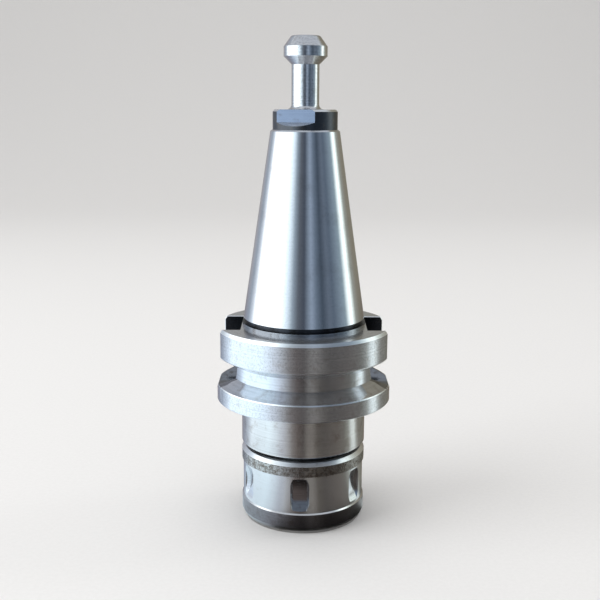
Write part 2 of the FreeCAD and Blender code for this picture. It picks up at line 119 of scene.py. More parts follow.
@dataclass(frozen=True)
class Finish:
    """One steel finish, with its marks in millimetres.

    Args:
        name: Name of the material.
        colour: Clean metal colour.
        stain: Colour of the oil film, oxide or rust on it.
        stain_share: How much of the face the stain covers, 0 to 1.
        stain_size: Size of the stained patches.
        roughness: Mean roughness.
        swing: How far the roughness varies.
        grain: Direction of the tool marks.
        pitch: Distance between tool marks.
        depth: Depth of the tool marks, in thousandths.
        streak: How far the marks lighten and darken the metal.
        pit_size: Size of pits.
        pit_depth: Depth of the pits, in thousandths.
        pit_tone: How bright the bottom of a pit is, against 1 for the face.
        anisotropy: How far highlights are drawn out across the marks.
        metallic: 1 for bare metal, less under a thick oxide.
    """

    STAIN_NONE: ClassVar[float] = 0.70
    STAIN_REACH: ClassVar[float] = 0.35
    STAIN_FADE_IN: ClassVar[float] = 0.08
    STAIN_FADE_OUT: ClassVar[float] = 0.14
    MOTTLE_SIZE: ClassVar[float] = 0.35
    MOTTLE: ClassVar[Span] = (0.25, 0.6)
    PITTED: ClassVar[Span] = (0.34, 0.56)
    BREAK_UP_SCALE: ClassVar[float] = 0.12
    BREAK_UP_SHARE: ClassVar[float] = 0.35
    RING_SHARE: ClassVar[float] = 0.75

    name: str
    colour: Colour
    stain: Colour
    stain_share: float = 0.3
    stain_size: float = 6.0
    roughness: float = 0.25
    swing: float = 0.06
    grain: Grain = Grain.AROUND
    pitch: float = 0.25
    depth: float = 1.0
    streak: float = 0.08
    pit_size: float = 0.4
    pit_depth: float = 0.0
    pit_tone: float = 1.0
    anisotropy: float = 0.4
    metallic: float = 1.0

    def material(self) -> bpy.types.Material:
        """Build this finish's node material.

        Returns:
            The material, ready for a slot.
        """
        shader = Shader(self.name)
        point = shader.point()
        marks = self._marks(shader, point)
        cloud = shader.noise(point, 1.0 / (self.stain_size * MM), detail=6.0, rough=0.62)
        fine = shader.noise(point, 1.0 / (self.MOTTLE_SIZE * MM), detail=3.0, rough=0.6)
        edge = self.STAIN_NONE - self.STAIN_REACH * self.stain_share
        cover = shader.spread(cloud, edge - self.STAIN_FADE_IN, edge + self.STAIN_FADE_OUT)
        mottle = shader.spread(fine, *self.MOTTLE)
        cover = shader.maths("MULTIPLY", cover, mottle)
        dark, light = 1.0 - self.streak, 1.0 + self.streak
        tone = shader.spread(marks, NOISE_LOW, NOISE_HIGH, dark, light)
        pits = None
        if self.pit_depth > 0.0:
            pits = shader.noise(point, 1.0 / (self.pit_size * MM), detail=4.0, rough=0.7)
            pits = shader.spread(pits, *self.PITTED)
            floor = shader.spread(pits, 0.0, 1.0, self.pit_tone, 1.0)
            tone = shader.maths("MULTIPLY", tone, floor)
        colour = shader.mixed(cover, shader.tinted(self.colour, tone), self.stain)
        shader.put("Base Color", colour)
        worn = shader.maths("MULTIPLY_ADD", cloud, 2.0 * self.swing, self.roughness - self.swing)
        worn = shader.maths("MULTIPLY_ADD", cover, 0.5 * self.swing, worn)
        worn = shader.maths("MULTIPLY_ADD", marks, self.swing, worn)
        shader.put("Roughness", worn)
        shader.put("Metallic", self.metallic)
        shader.put("Anisotropic", self.anisotropy)
        if self.anisotropy > 0.0:
            shader.put("Anisotropic Rotation", QUARTER_TURN)
            tangent = shader.add("ShaderNodeTangent", direction_type="RADIAL", axis="Z")
            shader.put("Tangent", tangent.outputs["Tangent"])
        normal = shader.bump(marks, self.depth * THOUSANDTH)
        if pits is not None:
            normal = shader.bump(pits, self.pit_depth * THOUSANDTH, normal)
        shader.put("Normal", normal)
        return shader.material

    def _marks(self, shader: Shader, point: Socket) -> Socket:
        """Make the height of the tool marks.

        Args:
            shader: The shader being built.
            point: Position on the piece.

        Returns:
            A socket from 0 to 1.
        """
        scale = 1.0 / (self.pitch * MM)
        if self.grain is Grain.EVEN:
            return shader.noise(point, scale, detail=4.0, rough=0.6)
        x, y, z = shader.split(point)
        if self.grain is Grain.AROUND:
            along = shader.maths("ADD", shader.length(x, y), z)
        else:
            along = z
        rings = shader.line_noise(shader.maths("MULTIPLY", along, scale))
        rings = shader.maths("MULTIPLY", rings, self.RING_SHARE)
        break_up = shader.noise(point, self.BREAK_UP_SCALE * scale, detail=2.0, rough=0.5)
        return shader.maths("MULTIPLY_ADD", break_up, self.BREAK_UP_SHARE, rings)


class Shader:
    """A small builder for one principled material."""

    def __init__(self, name: str) -> None:
        """Start an empty material.

        Args:
            name: Name of the material.
        """
        self.material = bpy.data.materials.new(name)
        self.material.use_nodes = True
        self.tree = self.material.node_tree
        self.tree.nodes.clear()
        self.surface = self.add("ShaderNodeBsdfPrincipled")
        self.output = self.add("ShaderNodeOutputMaterial")
        self.feed(self.output.inputs["Surface"], self.surface.outputs["BSDF"])

    def add(self, kind: str, **settings: object) -> bpy.types.Node:
        """Add a node.

        Args:
            kind: The node's type.
            settings: Properties to set on it.

        Returns:
            The new node.
        """
        node = self.tree.nodes.new(kind)
        for key, value in settings.items():
            setattr(node, key, value)
        return node

    def feed(self, socket: Socket, value: Socket | float | Sequence[float]) -> None:
        """Link a socket to another, or set its number or colour.

        Args:
            socket: The socket that is fed.
            value: A socket to link from, or a plain value.
        """
        if isinstance(value, bpy.types.NodeSocket):
            self.tree.links.new(value, socket)
        elif isinstance(value, tuple) and len(value) == 3 and socket.type == "RGBA":
            socket.default_value = (*value, 1.0)
        else:
            socket.default_value = value

    def put(self, name: str, value: Socket | float | Colour) -> None:
        """Feed one of the surface shader's inputs."""
        self.feed(self.surface.inputs[name], value)

    def point(self) -> Socket:
        """Give the position on the piece, in metres."""
        return self.add("ShaderNodeTexCoord").outputs["Object"]

    def split(self, vector: Socket) -> tuple[Socket, Socket, Socket]:
        """Split a vector into its three numbers."""
        node = self.add("ShaderNodeSeparateXYZ")
        self.feed(node.inputs[0], vector)
        return node.outputs[0], node.outputs[1], node.outputs[2]

    def maths(self, kind: str, *values: Socket | float) -> Socket:
        """Work out one sum.

        Args:
            kind: Name of the operation.
            values: Its inputs, in order.

        Returns:
            The result.
        """
        node = self.add("ShaderNodeMath", operation=kind)
        for socket, value in zip(node.inputs, values):
            self.feed(socket, value)
        return node.outputs[0]

    def length(self, x: Socket, y: Socket) -> Socket:
        """Give the distance from the spindle axis."""
        squares = [self.maths("MULTIPLY", side, side) for side in (x, y)]
        return self.maths("SQRT", self.maths("ADD", *squares))

    def spread(
        self, value: Socket, low: float, high: float, to_low: float = 0.0, to_high: float = 1.0
    ) -> Socket:
        """Map a range smoothly onto another.

        Args:
            value: The number to map.
            low: Start of its range.
            high: End of its range.
            to_low: What the start becomes.
            to_high: What the end becomes.

        Returns:
            The mapped number, held inside the new range.
        """
        node = self.add("ShaderNodeMapRange", interpolation_type="SMOOTHSTEP")
        for name, number in (
            ("Value", value),
            ("From Min", low),
            ("From Max", high),
            ("To Min", to_low),
            ("To Max", to_high),
        ):
            self.feed(node.inputs[name], number)
        return node.outputs[0]

    def noise(self, point: Socket, scale: float, detail: float = 3.0, rough: float = 0.5) -> Socket:
        """Make cloudy noise in space.

        Args:
            point: Where it is read.
            scale: Clouds per metre.
            detail: Number of finer layers.
            rough: Strength of the finer layers.

        Returns:
            A socket from 0 to 1.
        """
        node = self.add("ShaderNodeTexNoise")
        self.feed(node.inputs["Vector"], point)
        for name, number in (("Scale", scale), ("Detail", detail), ("Roughness", rough)):
            node.inputs[name].default_value = number
        return node.outputs[0]

    def line_noise(self, place: Socket) -> Socket:
        """Make noise along one line, for rings or straight marks."""
        node = self.add("ShaderNodeTexNoise", noise_dimensions="1D")
        self.feed(node.inputs["W"], place)
        for name, number in (("Scale", 1.0), ("Detail", 3.0), ("Roughness", 0.65)):
            node.inputs[name].default_value = number
        return node.outputs[0]

    def tinted(self, colour: Colour, amount: Socket) -> Socket:
        """Multiply a colour by a number."""
        node = self.add("ShaderNodeVectorMath", operation="SCALE")
        node.inputs[0].default_value = colour
        self.feed(node.inputs["Scale"], amount)
        return node.outputs[0]

    def mixed(self, share: Socket, first: Socket | Colour, second: Socket | Colour) -> Socket:
        """Mix two colours.

        Args:
            share: How much of the second colour shows.
            first: The colour at 0.
            second: The colour at 1.

        Returns:
            The mixed colour.
        """
        node = self.add("ShaderNodeMix", data_type="RGBA")
        self.feed(node.inputs[0], share)
        self.feed(node.inputs[6], first)
        self.feed(node.inputs[7], second)
        return node.outputs[2]

    def bump(self, height: Socket, distance: float, under: Socket | None = None) -> Socket:
        """Turn a height into a normal.

        Args:
            height: Height from 0 to 1.
            distance: What a height of 1 stands for, in metres.
            under: A normal to add it to.

        Returns:
            The normal.
        """
        node = self.add("ShaderNodeBump")
        node.inputs["Strength"].default_value = 1.0
        node.inputs["Distance"].default_value = distance
        self.feed(node.inputs["Height"], height)
        if under is not None:
            self.feed(node.inputs["Normal"], under)
        return node.outputs[0]


GROUND_TAPER = Finish(
    "ground_taper", (0.66, 0.67, 0.69), (0.55, 0.55, 0.56),
    stain_share=0.3, stain_size=7.0, roughness=0.12, swing=0.02, pitch=0.3, depth=0.12, streak=0.02,
    pit_size=0.7, pit_depth=0.5, pit_tone=0.95, anisotropy=0.6,
)
TURNED_FLANGE = Finish(
    "turned_flange", (0.63, 0.64, 0.66), (0.50, 0.48, 0.47),
    stain_share=0.3, stain_size=2.2, roughness=0.16, swing=0.04, pitch=0.45, depth=1.0,
    pit_size=0.5, pit_depth=1.6, pit_tone=0.82, anisotropy=0.6, metallic=0.92,
)
TURNED_GROOVE = Finish(
    "turned_groove", (0.62, 0.64, 0.67), (0.45, 0.43, 0.42),
    stain_share=0.3, stain_size=2.5, roughness=0.10, swing=0.03, pitch=0.45, depth=0.7,
    anisotropy=0.65, metallic=0.93,
)
# Painted shade: the recessed relief groove under the taper is painted near-black, with darker
# patches, for the shade that falls in it.
RELIEF_PAINTED_SHADE = Finish(
    "relief_painted_shade", (0.055, 0.06, 0.07), (0.02, 0.018, 0.016),
    stain_share=0.6, stain_size=2.5, roughness=0.30, swing=0.08, pitch=0.3, depth=1.5,
)
TURNED_COLLAR = Finish(
    "turned_collar", (0.34, 0.36, 0.39), (0.14, 0.13, 0.13),
    stain_share=0.4, stain_size=1.5, roughness=0.2, swing=0.06, pitch=0.3, depth=1.5,
    anisotropy=0.5,
)
BLACK_SLOT = Finish(
    "black_slot", (0.055, 0.06, 0.07), (0.09, 0.08, 0.07),
    stain_share=0.3, stain_size=2.0, roughness=0.22, swing=0.06, grain=Grain.ACROSS, pitch=0.4,
    depth=1.5, pit_size=0.6, pit_depth=3.0, anisotropy=0.0,
)
# Painted highlight: the upward-facing half-round end of each drive slot is the black slot steel
# painted lighter, for the bright stripe it catches.
SLOT_END_PAINTED_HIGHLIGHT = Finish(
    "slot_end_painted_highlight", (0.26, 0.27, 0.29), (0.12, 0.11, 0.10),
    stain_share=0.35, stain_size=2.0, roughness=0.16, swing=0.05, grain=Grain.ACROSS, pitch=0.4,
    depth=1.0, anisotropy=0.0,
)
GROUND_NECK = Finish(
    "ground_neck", (0.60, 0.585, 0.57), (0.46, 0.42, 0.39),
    stain_share=0.35, stain_size=2.6, roughness=0.12, swing=0.03, pitch=0.42, depth=0.8,
    anisotropy=0.6, metallic=0.9,
)
PLAIN_TURNED = Finish(
    "plain_turned", (0.40, 0.40, 0.41), (0.22, 0.20, 0.18),
    stain_share=0.45, stain_size=4.0, roughness=0.34, swing=0.08, pitch=0.3, depth=1.5,
)
# Painted highlight: edge breaks, bevels and run-outs get steel lighter than the faces beside them,
# standing in for the light their slopes catch.
EDGE_PAINTED_HIGHLIGHT = Finish(
    "edge_painted_highlight", (0.80, 0.81, 0.82), (0.62, 0.61, 0.60),
    stain_share=0.2, stain_size=2.0, roughness=0.28, swing=0.05, pitch=0.2, depth=0.8,
    anisotropy=0.3,
)
WORN_BAND = Finish(
    "worn_band", (0.50, 0.48, 0.455), (0.17, 0.14, 0.115),
    stain_share=0.65, stain_size=1.1, roughness=0.20, swing=0.08, grain=Grain.EVEN, pitch=0.3,
    depth=7.0, pit_size=0.45, pit_depth=20.0, pit_tone=0.35, anisotropy=0.0,
)
DARK_BAND = Finish(
    "dark_band", (0.25, 0.235, 0.24), (0.17, 0.145, 0.14),
    stain_share=0.4, stain_size=2.0, roughness=0.30, swing=0.05, pitch=0.4, depth=2.0,
    pit_size=0.35, pit_depth=3.0, pit_tone=0.8, anisotropy=0.3,
)
FOOT_BEVEL = Finish(
    "foot_bevel", (0.36, 0.355, 0.35), (0.25, 0.23, 0.21),
    stain_share=0.3, stain_size=2.0, roughness=0.30, swing=0.05, pitch=0.35, depth=1.2,
    anisotropy=0.3,
)
POLISHED_WAIST = Finish(
    "polished_waist", (0.70, 0.70, 0.70), (0.60, 0.585, 0.57),
    stain_share=0.2, stain_size=2.4, roughness=0.14, swing=0.015, pitch=0.4, depth=0.3, streak=0.02,
    anisotropy=0.5, metallic=0.94,
)
MILLED_SCOOP = Finish(
    "milled_scoop", (0.66, 0.67, 0.69), (0.48, 0.46, 0.44),
    stain_share=0.25, stain_size=1.8, roughness=0.12, swing=0.03, grain=Grain.ACROSS, pitch=0.3,
    depth=0.5, anisotropy=0.0,
)
OXIDE_FLANGE = Finish(
    "oxide_flange", (0.075, 0.08, 0.09), (0.13, 0.115, 0.10),
    stain_share=0.3, stain_size=1.8, roughness=0.30, swing=0.07, grain=Grain.EVEN, pitch=0.5,
    depth=2.0, anisotropy=0.0,
)
# Painted reflection: the wrench flats are painted a dark blue-grey, darker and bluer than bare
# ground steel, standing in for the reflection they show; the cross grain is their tool marks.
GROUND_FLAT_PAINTED_REFLECTION = Finish(
    "ground_flat_painted_reflection", (0.17, 0.21, 0.29), (0.12, 0.13, 0.16),
    stain_share=0.3, stain_size=2.0, roughness=0.26, swing=0.05, grain=Grain.ACROSS, pitch=0.3,
    depth=1.6, anisotropy=0.0,
)
TURNED_STUD = Finish(
    "turned_stud", (0.67, 0.67, 0.68), (0.52, 0.50, 0.48),
    stain_share=0.3, stain_size=2.0, roughness=0.15, swing=0.04, pitch=0.35, depth=0.8,
    pit_size=0.4, pit_depth=1.5, pit_tone=0.8, anisotropy=0.6,
)
GROUND_COLLET = Finish(
    "ground_collet", (0.62, 0.62, 0.63), (0.48, 0.46, 0.44),
    stain_share=0.3, stain_size=3.0, roughness=0.2, swing=0.05, pitch=0.3, depth=0.7,
)
COATED_BEARING = Finish(
    "coated_bearing", (0.50, 0.42, 0.25), (0.36, 0.31, 0.21),
    stain_share=0.25, stain_size=2.0, roughness=0.26, swing=0.05, pitch=0.3, depth=0.7,
)
BLUED_SPRING = Finish(
    "blued_spring", (0.16, 0.18, 0.22), (0.10, 0.09, 0.08),
    stain_share=0.3, stain_size=1.5, roughness=0.32, swing=0.06, pitch=0.3, depth=0.8,
)


@dataclass(frozen=True)
class Face:
    """Where a face lies and which way it looks.

    Args:
        centre: Its centre in millimetres.
        normal: Its outward direction.
    """

    centre: Vector
    normal: Vector

    @property
    def radius(self) -> float:
        """Give its distance from the spindle axis."""
        return math.hypot(self.centre.x, self.centre.y)

    @property
    def height(self) -> float:
        """Give its height over the table."""
        return self.centre.z


@dataclass(frozen=True)
class Region:
    """Faces of a solid that share a finish.

    Args:
        finish: The finish they get.
        holds: Tells whether a face belongs.
    """

    finish: Finish
    holds: Callable[[Face], bool]


@dataclass
class Workshop:
    """Keeps one material per finish and gives faces their finishes."""

    made: dict[str, bpy.types.Material] = field(default_factory=dict)

    def material(self, finish: Finish) -> bpy.types.Material:
        """Give the finish's material, built on first use."""
        if finish.name not in self.made:
            self.made[finish.name] = finish.material()
        return self.made[finish.name]

    def dress(self, piece: bpy.types.Object, regions: Sequence[Region]) -> None:
        """Give each face of a piece the finish of the first region that holds it.

        Args:
            piece: The piece, whose faces stay where they are.
            regions: Regions in order; the last one takes what is left.
        """
        mesh = piece.data
        mesh.materials.clear()
        for region in regions:
            mesh.materials.append(self.material(region.finish))
        for polygon in mesh.polygons:
            face = Face(polygon.center / MM, polygon.normal)
            polygon.material_index = next(
                index for index, region in enumerate(regions) if region.holds(face)
            )
        LOG.info("%s: %d faces, %d finishes", piece.name, len(mesh.polygons), len(regions))


def rest(face: Face) -> bool:
    """Hold every face that no earlier region has taken."""
    return True


def mesh_piece(name: str, build: bmesh.types.BMesh) -> bpy.types.Object:
    """Make an object from a finished bmesh.

    Args:
        name: Name of the piece.
        build: The mesh in progress; it is freed.

    Returns:
        The object, linked to the scene.
    """
    mesh = bpy.data.meshes.new(name)
    build.to_mesh(mesh)
    build.free()
    piece = bpy.data.objects.new(name, mesh)
    bpy.context.scene.collection.objects.link(piece)
    return piece


@dataclass
class NoseThread:
    """The helical ridge that the clamp nut screws on to.

    Args:
        pitch: Advance per turn, the same as the clamp nut's.
        root: Radius the ridge stands on.
        crest: Radius of its flat top.
        low: Height of the first turn.
        high: Height of the last turn.
        crest_width: Width of the flat top.
        root_width: Width where it meets the nose.
        run_out: Turns over which it thins out at each end.
        least: Share of its height left at the ends.
        steps: Sections per turn.
    """

    pitch: float = 1.5
    root: float = 12.58
    crest: float = 13.35
    low: float = 8.95
    high: float = 16.9
    crest_width: float = 0.25
    root_width: float = 1.15
    run_out: float = 0.5
    least: float = 0.02
    steps: int = 72

    @property
    def turns(self) -> float:
        """Give the number of turns."""
        return (self.high - self.low) / self.pitch

    def section(self, share: float) -> list[tuple[float, float]]:
        """Give the ridge's section at a share of its length.

        Args:
            share: 0 at the first turn, 1 at the last.

        Returns:
            Radius and height of each corner, thinned out towards both ends.
        """
        ends = (share * self.turns / self.run_out, (1.0 - share) * self.turns / self.run_out)
        fade = min(1.0, *ends)
        top = self.root + max(self.least, fade) * (self.crest - self.root)
        wide = self.root_width / 2.0
        narrow = self.crest_width / 2.0
        return [(self.root, -wide), (top, -narrow), (top, narrow), (self.root, wide)]

    def build(self, workshop: Workshop) -> bpy.types.Object:
        """Sweep the ridge up the nose as a right-hand thread.

        Args:
            workshop: Gives the ridge its finish.

        Returns:
            The ridge, riding on the holder.
        """
        build = bmesh.new()
        count = int(self.turns * self.steps)
        rows: list[list[bmesh.types.BMVert]] = []
        for index in range(count + 1):
            share = index / count
            angle = 2.0 * math.pi * self.turns * share
            lift = self.low + (self.high - self.low) * share
            rows.append([
                build.verts.new((
                    radius * math.cos(angle) * MM,
                    radius * math.sin(angle) * MM,
                    (lift + height) * MM,
                ))
                for radius, height in self.section(share)
            ])
        for first, second in zip(rows, rows[1:]):
            for index in range(len(first)):
                after = (index + 1) % len(first)
                build.faces.new((first[index], second[index], second[after], first[after]))
        build.faces.new(rows[0])
        build.faces.new(list(reversed(rows[-1])))
        bmesh.ops.recalc_face_normals(build, faces=build.faces)
        piece = mesh_piece("nose_thread", build)
        workshop.dress(piece, [Region(PLAIN_TURNED, rest)])
        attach(piece, "holder")
        return piece


@dataclass
class Holder:
    """The one-piece steel body: taper shank, flange, neck and nose.

    Args:
        gauge: Height of the gauge plane.
        collar_top: Height of the collar's top.
        flange_top: Height of the flange's upper face.
        flange_low: Height of the flange's lower face.
        groove_low: Height where the gripper groove opens.
        groove_high: Height where it closes.
        rim: Flange radius.
        slot_half: Half the width of a drive slot.
        slot_floor: Distance of the slot floor from the axis.
        shank_low_radius: Radius of the taper at the gauge plane.
        neck: Radius of the neck.
        neck_low: Height of the neck's lower end.
        taper_rate: Fall of the taper's radius per height.
        skin: How far inside the cone the shank's faces reach.
        relief_inner: Innermost radius of the relief's faces.
        relief_outer: Outermost radius of the relief's faces.
        collar_inner: Innermost radius of the collar's faces.
        collar_clear: Least distance of the collar's faces from the gauge plane.
        flange_inner: Innermost radius of the flange's faces.
        groove_inner: Innermost radius of the groove's faces.
        neck_depth: How far inside the neck its faces reach.
        slot_break: How far a slot's edge break reaches.
        rim_break: How far a rim's edge break reaches.
        neck_break: How far the neck's edge break reaches.
        rim_clear: Least distance from the rim to a face inside a slot.
        upturn: Least upward share of the slot end's direction, where it gets its painted highlight.
    """

    gauge: float = 54.5
    collar_top: float = 53.25
    flange_top: float = 52.5
    flange_low: float = 32.5
    groove_low: float = 36.9
    groove_high: float = 44.9
    rim: float = 23.0
    slot_half: float = 8.05
    slot_floor: float = 16.3
    shank_low_radius: float = 15.875
    neck: float = 16.5
    neck_low: float = 20.75
    taper_rate: float = 7.0 / 48.0
    skin: float = 1.2
    relief_inner: float = 13.0
    relief_outer: float = 15.9
    collar_inner: float = 15.2
    collar_clear: float = 0.1
    flange_inner: float = 16.2
    groove_inner: float = 17.0
    neck_depth: float = 0.4
    slot_break: float = 0.2
    rim_break: float = 0.45
    neck_break: float = 0.3
    rim_clear: float = 0.12
    upturn: float = 0.25
    thread: NoseThread = field(default_factory=NoseThread)

    def is_taper(self, face: Face) -> bool:
        """Hold the ground taper and its small end."""
        wall = self.shank_low_radius - (face.height - self.gauge) * self.taper_rate
        above = face.height > self.gauge - TIGHT and face.normal.z > -0.5
        return above and face.radius > wall - self.skin

    def is_slot(self, face: Face) -> bool:
        """Hold the walls, round end and floor of both drive slots."""
        past_floor = abs(face.centre.x) - self.slot_floor
        inside = abs(face.centre.y) < self.slot_half + SLACK and past_floor > -SLACK
        wall = abs(face.normal.z) > SLACK or abs(face.normal.y) > 0.5 or past_floor < SLACK
        in_flange = self.flange_low < face.height < self.collar_top
        return inside and in_flange and wall and abs(face.radius - self.rim) > self.rim_clear

    def is_slot_end(self, face: Face) -> bool:
        """Hold the half-round end of both drive slots."""
        # Upward-facing faces of the half-round end take the painted highlight.
        return self.is_slot(face) and face.normal.z > self.upturn

    def is_slot_break(self, face: Face) -> bool:
        """Hold the fine breaks along the slots' edges."""
        beside = -SLACK < abs(face.centre.y) - self.slot_half < self.slot_break
        slanted = SLANT_LOW < abs(face.normal.y) < SLANT_HIGH
        in_flange = abs(face.centre.x) > self.slot_floor and face.height > self.flange_low
        return beside and slanted and in_flange

    def is_relief(self, face: Face) -> bool:
        """Hold the grinding relief under the taper."""
        in_groove = self.collar_top - SLACK < face.height < self.gauge + TIGHT
        return in_groove and self.relief_inner < face.radius < self.relief_outer

    def is_collar(self, face: Face) -> bool:
        """Hold the low collar between the relief and the flange."""
        above = self.flange_top + SLACK < face.height < self.gauge - self.collar_clear
        return above and face.radius > self.collar_inner

    def is_break(self, face: Face) -> bool:
        """Hold the fine breaks on the rims' edges and the neck's lower edge."""
        on_rim = face.radius > self.rim - self.rim_break
        low = face.height < self.neck_low + self.slot_break
        at_neck = low and face.radius > self.neck - self.neck_break
        return (on_rim or at_neck) and SLANT_LOW < abs(face.normal.z) < SLANT_HIGH

    def is_groove(self, face: Face) -> bool:
        """Hold the gripper groove's walls and floor."""
        between = self.groove_low + SLACK < face.height < self.groove_high - SLACK
        return between and face.radius > self.groove_inner

    def is_flange(self, face: Face) -> bool:
        """Hold the flange's rims and faces."""
        between = self.flange_low - SLACK <= face.height <= self.flange_top + SLACK
        return between and face.radius > self.flange_inner

    def is_neck(self, face: Face) -> bool:
        """Hold the outside of the neck."""
        between = self.neck_low - SLACK <= face.height <= self.flange_low
        return between and face.radius > self.neck - self.neck_depth

    def build(self, frame: dict, workshop: Workshop) -> None:
        """Dress the body and add the nose thread.

        Args:
            frame: The loaded frame.
            workshop: Gives the faces their finishes.
        """
        workshop.dress(frame["nodes"]["holder_body"], [
            # Painted highlight on the breaks along the slots' edges.
            Region(EDGE_PAINTED_HIGHLIGHT, self.is_slot_break),
            # Painted highlight on the upward-facing half-round ends of the slots.
            Region(SLOT_END_PAINTED_HIGHLIGHT, self.is_slot_end),
            Region(BLACK_SLOT, self.is_slot),
            # Painted highlight on the breaks of the rims and the neck's lower edge.
            Region(EDGE_PAINTED_HIGHLIGHT, self.is_break),
            # Painted shade in the relief groove under the taper.
            Region(RELIEF_PAINTED_SHADE, self.is_relief),
            Region(TURNED_COLLAR, self.is_collar),
            Region(GROUND_TAPER, self.is_taper),
            Region(TURNED_GROOVE, self.is_groove),
            Region(TURNED_FLANGE, self.is_flange),
            Region(GROUND_NECK, self.is_neck),
            Region(PLAIN_TURNED, rest),
        ])
        self.thread.build(workshop)


@dataclass
class PullStud:
    """The retention knob at the small end of the shank.

    Args:
        seat: Height of the seat on the shank.
        flange_top: Height of the stud flange's upper face.
        flat: Distance of a wrench flat from the axis.
        flat_height: Least height of a wrench flat, down from the upper face.
        top_break: How far the upper face's edge break reaches down.
        face_inner: Innermost radius of the upper face's edge break.
        side_inner: Innermost radius of the flange's side.
    """

    seat: float = 102.9
    flange_top: float = 107.9
    flat: float = 6.5
    flat_height: float = 1.5
    top_break: float = 0.55
    face_inner: float = 5.2
    side_inner: float = 6.6

    def is_flat(self, face: Face) -> bool:
        """Hold the two wrench flats."""
        in_flange = self.seat - TIGHT < face.height < self.flange_top - TIGHT
        reach = face.centre.x * face.normal.x + face.centre.y * face.normal.y
        return in_flange and abs(face.normal.z) < SLACK and abs(reach - self.flat) < SLACK

    def is_runout(self, face: Face) -> bool:
        """Hold the sloped run-outs under the flats and the flange's top break."""
        under_flat = self.seat < face.height < self.flange_top - self.flat_height
        at_top = face.height > self.flange_top - self.top_break and face.radius > self.face_inner
        low = 0.1 < face.normal.z < 0.99 and under_flat
        top = SLANT_LOW < face.normal.z < SLANT_HIGH and at_top
        return (low or top) and face.height < self.flange_top + TIGHT

    def is_oxide(self, face: Face) -> bool:
        """Hold the side of the stud flange."""
        in_flange = self.seat - TIGHT <= face.height < self.flange_top - TIGHT
        return in_flange and face.radius > self.side_inner

    def build(self, frame: dict, workshop: Workshop) -> None:
        """Dress the stud.

        Args:
            frame: The loaded frame.
            workshop: Gives the faces their finishes.
        """
        workshop.dress(frame["nodes"]["pull_stud"], [
            # Painted reflection on the two wrench flats.
            Region(GROUND_FLAT_PAINTED_REFLECTION, self.is_flat),
            # Painted highlight on the run-outs under the flats and the flange's top break.
            Region(EDGE_PAINTED_HIGHLIGHT, self.is_runout),
            Region(OXIDE_FLANGE, self.is_oxide),
            Region(TURNED_STUD, rest),
        ])


@dataclass
class ClampNut:
    """The nut with its two worn bands, polished waist and six milled scoops.

    Args:
        waist: Radius of the waist.
        low_band: Top of the lower band.
        high_band: Bottom of the upper band.
        foot: Height of the foot bevel.
        bevel: Bottom of the top bevel.
        inside: Outermost radius of the bore, thread, seat and lip.
        scoop_low: Lowest face of a scoop.
        scoop_over: How far above the bevel's bottom a scoop may reach.
        scoop_inner: Innermost radius of a scoop's faces.
        scoop_depth: Least depth of a scoop's faces under the waist.
        band_rise: Least rise of a band's faces over the waist.
    """

    waist: float = 16.15
    low_band: float = 5.3
    high_band: float = 15.7
    foot: float = 1.75
    bevel: float = 18.45
    inside: float = 14.7
    scoop_low: float = 2.5
    scoop_over: float = 0.5
    scoop_inner: float = 14.6
    scoop_depth: float = 0.06
    band_rise: float = 0.2

    def is_inside(self, face: Face) -> bool:
        """Hold the bore, thread, seat and lip."""
        return face.radius < self.inside

    def is_scoop(self, face: Face) -> bool:
        """Hold the six scoops."""
        between = self.scoop_low < face.height < self.bevel + self.scoop_over
        return between and self.scoop_inner < face.radius < self.waist - self.scoop_depth

    def is_bevel(self, face: Face) -> bool:
        """Hold the top bevel and the lip round the mouth."""
        return face.height > self.bevel + TIGHT

    def is_foot(self, face: Face) -> bool:
        """Hold the foot bevel and the front face."""
        return face.height < self.foot - TIGHT

    def is_low_band(self, face: Face) -> bool:
        """Hold the lower band."""
        between = self.foot - TIGHT <= face.height <= self.low_band + TIGHT
        return between and face.radius > self.waist + self.band_rise

    def is_high_band(self, face: Face) -> bool:
        """Hold the upper band."""
        between = self.high_band - TIGHT <= face.height <= self.bevel + TIGHT
        return between and face.radius > self.waist + self.band_rise

    def build(self, frame: dict, workshop: Workshop) -> None:
        """Dress the nut.

        Args:
            frame: The loaded frame.
            workshop: Gives the faces their finishes.
        """
        workshop.dress(frame["nodes"]["clamp_nut"], [
            Region(PLAIN_TURNED, self.is_inside),
            Region(MILLED_SCOOP, self.is_scoop),
            # Painted highlight on the nut's top bevel and the lip round its mouth.
            Region(EDGE_PAINTED_HIGHLIGHT, self.is_bevel),
            Region(FOOT_BEVEL, self.is_foot),
            Region(DARK_BAND, self.is_low_band),
            Region(WORN_BAND, self.is_high_band),
            Region(POLISHED_WAIST, rest),
        ])


@dataclass
class ColletGroup:
    """What sits inside the nut: collet, thrust ring and snap ring."""

    finishes: tuple[tuple[str, Finish], ...] = (
        ("collet", GROUND_COLLET),
        ("thrust_ring", COATED_BEARING),
        ("retaining_clip", BLUED_SPRING),
    )

    def build(self, frame: dict, workshop: Workshop) -> None:
        """Dress the three pieces.

        Args:
            frame: The loaded frame.
            workshop: Gives the faces their finishes.
        """
        for name, finish in self.finishes:
            workshop.dress(frame["nodes"][name], [Region(finish, rest)])


@dataclass(frozen=True)
class Stop:
    """One tone of the surround, at an angle from the front towards the right."""

    angle: float
    colour: Colour


def tones(*rows: tuple[float, float, float, float]) -> tuple[Stop, ...]:
    """Make stops from rows of angle, red, green and blue."""
    return tuple(Stop(angle, (red, green, blue)) for angle, red, green, blue in rows)


